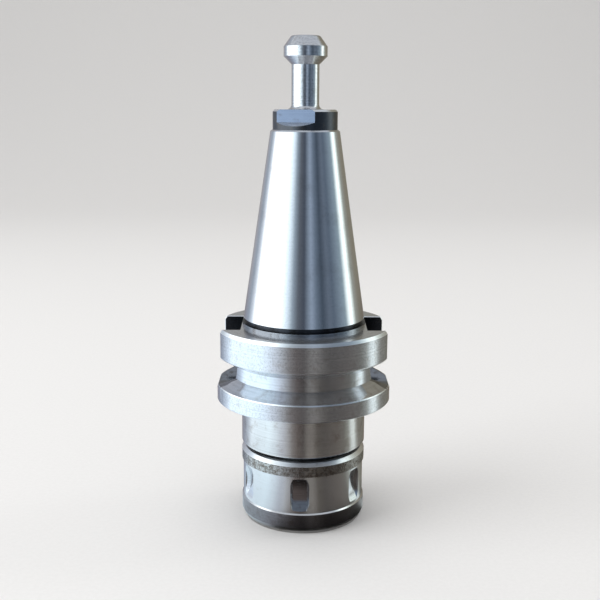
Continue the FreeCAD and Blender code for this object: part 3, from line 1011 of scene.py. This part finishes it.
@dataclass
class Surround:
    """The ring of glowing bright and dark cards, not lamps, that bare steel mirrors: painted
    reflections.

    It is seen in reflections only, and gives no light to the floor. Upright faces mirror
    the painted table, and faces that lean back mirror the painted wall. Beside the object
    the table tones carry a painted shadow of it.

    Args:
        radius: Radius of the ring of cards.
        inner: Where the cards on the table begin.
        top: Height of the ring.
        strength: Brightness of a tone of 1.
        steps: Panels in the ring.
        wall: Painted reflection tones round the wall.
        table: Painted reflection tones round the table.
        shade: Tone of the painted shadow on the table's dark side, right beside the object.
        overhead: Painted reflection tone of the card overhead.
        lift: Height of the cards over the table.
        kerb: Height of the table's far edge.
        shade_end: Where the painted shadow on the dark side gives way to the full tone.
        glow_end: Where the painted shadow on the bright side gives way to the full tone.
        skirt_low: Height where the table's tones begin to give way to the wall's.
        skirt_high: Height where the wall's tones have taken over.
        roof_low: Height where the overhead card begins to show.
        roof_rise: Height of the roof's middle over the wall.
    """

    radius: float = 0.26
    inner: float = 0.0162
    top: float = 0.42
    strength: float = 2.2
    steps: int = 96
    wall: tuple[Stop, ...] = tones(
        (-180.0, 0.16, 0.16, 0.15),
        (-150.0, 0.20, 0.20, 0.22),
        (-128.0, 0.20, 0.23, 0.27),
        (-116.0, 0.38, 0.42, 0.47),
        (-104.0, 0.90, 0.94, 0.97),
        (-50.0, 0.88, 0.95, 0.98),
        (-38.0, 0.64, 0.73, 0.80),
        (-30.0, 0.44, 0.52, 0.58),
        (-22.0, 0.17, 0.21, 0.25),
        (-12.0, 0.066, 0.076, 0.092),
        (0.0, 0.036, 0.044, 0.060),
        (8.0, 0.12, 0.15, 0.19),
        (14.0, 0.17, 0.21, 0.27),
        (24.0, 0.080, 0.105, 0.14),
        (35.0, 0.034, 0.046, 0.064),
        (48.0, 0.075, 0.095, 0.125),
        (58.0, 0.062, 0.082, 0.110),
        (74.0, 0.12, 0.155, 0.19),
        (85.0, 0.16, 0.21, 0.24),
        (92.0, 0.55, 0.62, 0.62),
        (100.0, 0.85, 0.93, 0.93),
        (107.0, 0.50, 0.56, 0.53),
        (114.0, 0.19, 0.20, 0.18),
        (130.0, 0.14, 0.13, 0.105),
        (152.0, 0.12, 0.11, 0.085),
    )
    table: tuple[Stop, ...] = tones(
        (-180.0, 0.11, 0.105, 0.10),
        (-150.0, 0.11, 0.11, 0.13),
        (-128.0, 0.13, 0.15, 0.19),
        (-114.0, 0.34, 0.40, 0.48),
        (-102.0, 0.60, 0.71, 0.80),
        (-60.0, 0.60, 0.73, 0.82),
        (-47.0, 0.50, 0.59, 0.67),
        (-36.0, 0.36, 0.40, 0.46),
        (-26.0, 0.18, 0.19, 0.205),
        (-18.0, 0.085, 0.08, 0.08),
        (-10.0, 0.042, 0.034, 0.032),
        (0.0, 0.022, 0.018, 0.017),
        (8.0, 0.072, 0.068, 0.064),
        (14.0, 0.080, 0.075, 0.070),
        (24.0, 0.034, 0.030, 0.026),
        (35.0, 0.025, 0.022, 0.020),
        (60.0, 0.045, 0.040, 0.036),
        (74.0, 0.058, 0.056, 0.050),
        (85.0, 0.13, 0.14, 0.13),
        (92.0, 0.46, 0.51, 0.51),
        (100.0, 0.52, 0.58, 0.58),
        (107.0, 0.17, 0.18, 0.17),
        (114.0, 0.090, 0.088, 0.078),
        (130.0, 0.072, 0.070, 0.058),
        (150.0, 0.070, 0.060, 0.048),
    )
    shade: float = 0.18
    overhead: Colour = (0.27, 0.29, 0.32)
    lift: float = 0.0003
    kerb: float = 0.001
    shade_end: float = 0.034
    glow_end: float = 0.12
    skirt_low: float = 0.004
    skirt_high: float = 0.045
    roof_low: float = 0.30
    roof_rise: float = 0.07

    def tones_round(self, shader: Shader, stops: Sequence[Stop], place: Socket) -> Socket:
        """Lay tones round the ring.

        Args:
            shader: The shader being built.
            stops: The tones, from the back round the left, front and right.
            place: Place round the ring, 0 to 1.

        Returns:
            The tone as a colour.
        """
        ramp = shader.add("ShaderNodeValToRGB")
        bands = ramp.color_ramp.elements
        while len(bands) < len(stops) + 1:
            bands.new(0.5)
        closed = (*stops, Stop(180.0, stops[0].colour))
        for band, stop in zip(bands, closed):
            band.position = stop.angle / 360.0 + 0.5
            band.color = (*stop.colour, 1.0)
        shader.feed(ramp.inputs[0], place)
        return ramp.outputs[0]

    def material(self) -> bpy.types.Material:
        """Build the glowing material of painted reflections whose tone runs round the ring.

        Returns:
            The material.
        """
        # The surround glows but is no lamp; its tones are painted reflections for the steel.
        shader = Shader("painted_reflection_cards")
        shader.tree.nodes.remove(shader.surface)
        x, y, z = shader.split(shader.point())
        angle = shader.maths("ARCTAN2", x, shader.maths("MULTIPLY", y, -1.0))
        place = shader.maths("MULTIPLY_ADD", angle, 0.5 / math.pi, 0.5)
        wall = self.tones_round(shader, self.wall, place)
        table = self.tones_round(shader, self.table, place)
        level = shader.add("ShaderNodeRGBToBW")
        shader.feed(level.inputs[0], table)
        reach = shader.length(x, y)
        # Painted shadow of the object on the table tones: darker close to it, on the dark side
        # (dark) and on the bright side.
        dark = shader.spread(reach, self.inner, self.shade_end, self.shade, 1.25)
        painted_shadow_bright_side = shader.spread(reach, self.inner, self.glow_end, 0.62, 1.05)
        bright_side = shader.spread(level.outputs[0], 0.12, 0.4)
        painted_shadow_scale = shader.add("ShaderNodeMix", data_type="FLOAT")
        for place_in_node, value in ((0, bright_side), (2, dark), (3, painted_shadow_bright_side)):
            shader.feed(painted_shadow_scale.inputs[place_in_node], value)
        scaled = shader.add("ShaderNodeVectorMath", operation="SCALE")
        shader.feed(scaled.inputs[0], table)
        shader.feed(scaled.inputs["Scale"], painted_shadow_scale.outputs[0])
        low = shader.spread(z, self.skirt_low, self.skirt_high, 1.0, 0.0)
        tone = shader.mixed(low, wall, scaled.outputs[0])
        tone = shader.mixed(shader.spread(z, self.roof_low, self.top), tone, self.overhead)
        glow = shader.add("ShaderNodeEmission")
        shader.feed(glow.inputs["Color"], tone)
        glow.inputs["Strength"].default_value = self.strength
        shader.feed(shader.output.inputs["Surface"], glow.outputs[0])
        return shader.material

    def build(self) -> bpy.types.Object:
        """Build the cards on the table and round it.

        Returns:
            The surround, seen in reflections only.
        """
        build = bmesh.new()
        profile = (
            (self.inner, self.lift),
            (self.radius * 0.5, self.lift),
            (self.radius, self.kerb),
            (self.radius, self.top * 0.5),
            (self.radius, self.top),
            (self.radius * 0.5, self.top + self.roof_rise - 0.01),
            (self.radius * 0.02, self.top + self.roof_rise),
        )
        rings = [
            [
                build.verts.new((
                    radius * math.cos(2.0 * math.pi * step / self.steps),
                    radius * math.sin(2.0 * math.pi * step / self.steps),
                    height,
                ))
                for step in range(self.steps)
            ]
            for radius, height in profile
        ]
        for low, high in zip(rings, rings[1:]):
            for step in range(self.steps):
                after = (step + 1) % self.steps
                build.faces.new((low[step], low[after], high[after], high[step]))
        piece = mesh_piece("painted_reflection_cards", build)
        piece.data.materials.append(self.material())
        piece.visible_camera = False
        piece.visible_diffuse = False
        piece.visible_shadow = False
        piece.visible_transmission = False
        piece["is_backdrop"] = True
        return piece


@dataclass(frozen=True)
class Lamp:
    """One soft lamp.

    Args:
        name: Name of the lamp.
        place: Where it stands, in metres.
        size: Its width and height, in metres.
        power: Its power in watts.
        colour: Its colour.
    """

    name: str
    place: Point
    size: Span
    power: float
    colour: Colour = (1.0, 1.0, 1.0)

    def build(self, aim: Vector) -> bpy.types.Object:
        """Hang the lamp and point it.

        Args:
            aim: What it points at.

        Returns:
            The lamp.
        """
        data = bpy.data.lights.new(self.name, "AREA")
        data.shape = "RECTANGLE"
        data.size, data.size_y = self.size
        data.energy = self.power
        data.color = self.colour
        lamp = bpy.data.objects.new(self.name, data)
        bpy.context.scene.collection.objects.link(lamp)
        place = Vector(self.place)
        lamp.location = place
        lamp.rotation_euler = (aim - place).to_track_quat("-Z", "Y").to_euler()
        lamp.visible_camera = False
        lamp.visible_glossy = False
        return lamp


@dataclass
class Studio:
    """Floor, backdrop, lamps, world and camera.

    Args:
        eye: Where the camera stands, in metres.
        yaw: How far it turns to the right, in radians.
        pitch: How far it looks down, in radians.
        roll: How far it leans, in radians.
        lens: Its focal length in millimetres, on a 36 mm sensor.
        floor_colour: Colour of the floor.
        fill: Strength of the even light from all round.
        reach: How far the floor runs to the front and sides.
        back: Distance of the backdrop.
        bend: Radius of the sweep between floor and backdrop.
        top: Height of the backdrop.
        sweep_steps: Panels in the sweep.
        surround: The glowing cards of painted reflections that bare steel mirrors.
        lamps: The lamps that light the floor.
    """

    eye: Point = (-0.001143, -0.23999, 0.10902)
    yaw: float = 0.0004
    pitch: float = 0.2067
    roll: float = 0.0059
    lens: float = 55.81
    floor_colour: Colour = (0.80, 0.79, 0.78)
    fill: float = 0.62
    reach: float = 3.0
    back: float = 1.6
    bend: float = 0.9
    top: float = 3.2
    sweep_steps: int = 24
    surround: Surround = field(default_factory=Surround)
    lamps: tuple[Lamp, ...] = (
        Lamp("window_lamp", (-0.75, -0.25, 0.55), (0.7, 0.7), 4.2, (0.97, 0.985, 1.0)),
        Lamp("strip_lamp", (0.80, 0.25, 0.50), (0.2, 0.7), 0.8),
        Lamp("top_lamp", (0.0, 0.1, 1.1), (0.9, 0.9), 3.8),
    )

    def floor(self) -> bpy.types.Object:
        """Build the floor, swept up behind into a backdrop.

        Returns:
            The floor.
        """
        build = bmesh.new()
        foot = self.back - self.bend
        profile = [(-self.reach, 0.0), (foot, 0.0)]
        for step in range(1, self.sweep_steps + 1):
            angle = 0.5 * math.pi * step / self.sweep_steps
            along, rise = self.bend * math.sin(angle), self.bend * math.cos(angle)
            profile.append((foot + along, self.bend - rise))
        profile.append((self.back, self.top))
        left = [build.verts.new((-self.reach, y, z)) for y, z in profile]
        right = [build.verts.new((self.reach, y, z)) for y, z in profile]
        for index in range(len(profile) - 1):
            build.faces.new((left[index], right[index], right[index + 1], left[index + 1]))
        piece = mesh_piece("studio_floor", build)
        for face in piece.data.polygons:
            face.use_smooth = True
        shader = Shader("studio_floor")
        grain = shader.noise(shader.point(), 900.0, detail=3.0, rough=0.6)
        tone = shader.spread(grain, NOISE_LOW, NOISE_HIGH, 0.985, 1.01)
        shader.put("Base Color", shader.tinted(self.floor_colour, tone))
        shader.put("Roughness", shader.spread(grain, NOISE_LOW, NOISE_HIGH, 0.80, 0.86))
        shader.put("Specular IOR Level", 0.0)
        shader.put("Normal", shader.bump(grain, 0.00001))
        piece.data.materials.append(shader.material)
        piece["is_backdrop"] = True
        return piece

    def world(self) -> None:
        """Make the world plain white where it is seen, and an even fill elsewhere."""
        world = bpy.data.worlds.new("studio_world")
        bpy.context.scene.world = world
        world.use_nodes = True
        tree = world.node_tree
        tree.nodes.clear()
        path = tree.nodes.new("ShaderNodeLightPath")
        seen = path.outputs["Is Camera Ray"]
        for name in ("Is Glossy Ray", "Is Transmission Ray"):
            both = tree.nodes.new("ShaderNodeMath")
            both.operation = "MAXIMUM"
            tree.links.new(seen, both.inputs[0])
            tree.links.new(path.outputs[name], both.inputs[1])
            seen = both.outputs[0]
        lift = tree.nodes.new("ShaderNodeMapRange")
        lift.inputs["To Min"].default_value = self.fill
        lift.inputs["To Max"].default_value = 1.0
        tree.links.new(seen, lift.inputs["Value"])
        back = tree.nodes.new("ShaderNodeBackground")
        back.inputs["Color"].default_value = (1.0, 1.0, 1.0, 1.0)
        tree.links.new(lift.outputs[0], back.inputs["Strength"])
        world.cycles.sampling_method = "NONE"
        output = tree.nodes.new("ShaderNodeOutputWorld")
        tree.links.new(back.outputs[0], output.inputs["Surface"])

    def camera(self) -> bpy.types.Object:
        """Set up the camera.

        Returns:
            The scene's camera.
        """
        data = bpy.data.cameras.new("studio_camera")
        data.sensor_width = 36.0
        data.lens = self.lens
        data.clip_start = 0.01
        data.clip_end = 50.0
        ahead = Vector((
            math.sin(self.yaw) * math.cos(self.pitch),
            math.cos(self.yaw) * math.cos(self.pitch),
            -math.sin(self.pitch),
        ))
        right = ahead.cross(Vector((0.0, 0.0, 1.0))).normalized()
        up = right.cross(ahead)
        across = math.cos(self.roll) * right + math.sin(self.roll) * up
        upward = math.cos(self.roll) * up - math.sin(self.roll) * right
        turn = Matrix((across, upward, -ahead)).transposed()
        camera = bpy.data.objects.new("studio_camera", data)
        bpy.context.scene.collection.objects.link(camera)
        camera.matrix_world = Matrix.Translation(Vector(self.eye)) @ turn.to_4x4()
        bpy.context.scene.camera = camera
        return camera

    def build(self, aim: Vector) -> None:
        """Build the whole studio.

        Args:
            aim: Centre of the object, which the lamps point at.
        """
        self.floor()
        self.surround.build()
        self.world()
        for lamp in self.lamps:
            lamp.build(aim)
        self.camera()
        bpy.context.scene.view_settings.view_transform = "Standard"
        LOG.info("studio: %d lamps", len(self.lamps))


def as_lists(box: Iterable[Iterable[float]]) -> list[list[float]]:
    """Turn a box's corners into plain lists."""
    return [list(map(float, corner)) for corner in box]


def main() -> None:
    """Load the frame, dress each piece and build the studio."""
    logging.basicConfig(level=logging.INFO, format="%(name)s: %(message)s")
    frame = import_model()
    cad_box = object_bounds()
    workshop = Workshop()
    for group in (Holder(), PullStud(), ClampNut(), ColletGroup()):
        group.build(frame, workshop)
        LOG.info("%s done", type(group).__name__)
    low, high = (Vector(corner) for corner in as_lists(cad_box))
    Studio().build((low + high) / 2.0)


if __name__ == "__main__":
    main()
